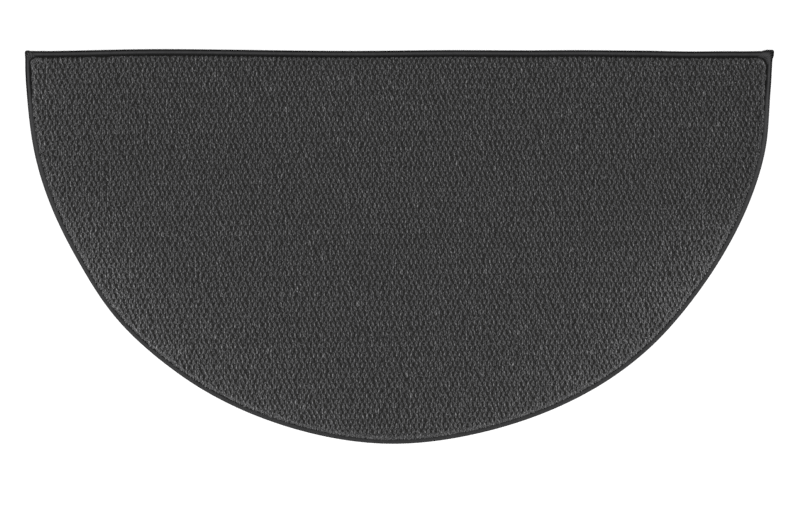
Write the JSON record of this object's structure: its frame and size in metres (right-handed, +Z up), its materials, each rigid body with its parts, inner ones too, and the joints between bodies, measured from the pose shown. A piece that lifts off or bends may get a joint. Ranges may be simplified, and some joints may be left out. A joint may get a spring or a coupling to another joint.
{
  "type": "half round hearth rug",
  "caption": "Flat half round hearth rug of looped pile, with a straight edge for the hearth and a cloth tape folded over its whole edge.",
  "frame": {"origin": "on the floor under the middle of the rug", "axes": "+X along the straight edge, +Y across it towards the hearth, +Z up out of the pile"},
  "size_m": [1.1684, 0.6155, 0.007],
  "materials": {
    "loop_pile": "matt charcoal looped pile in staggered rows",
    "binding_tape": "smooth charcoal cloth tape, folded over and stitched"
  },
  "bodies": {
    "root": {"rug_field": "loop_pile", "curved_binding": "binding_tape", "straight_binding": "binding_tape"}
  },
  "joints": []
}
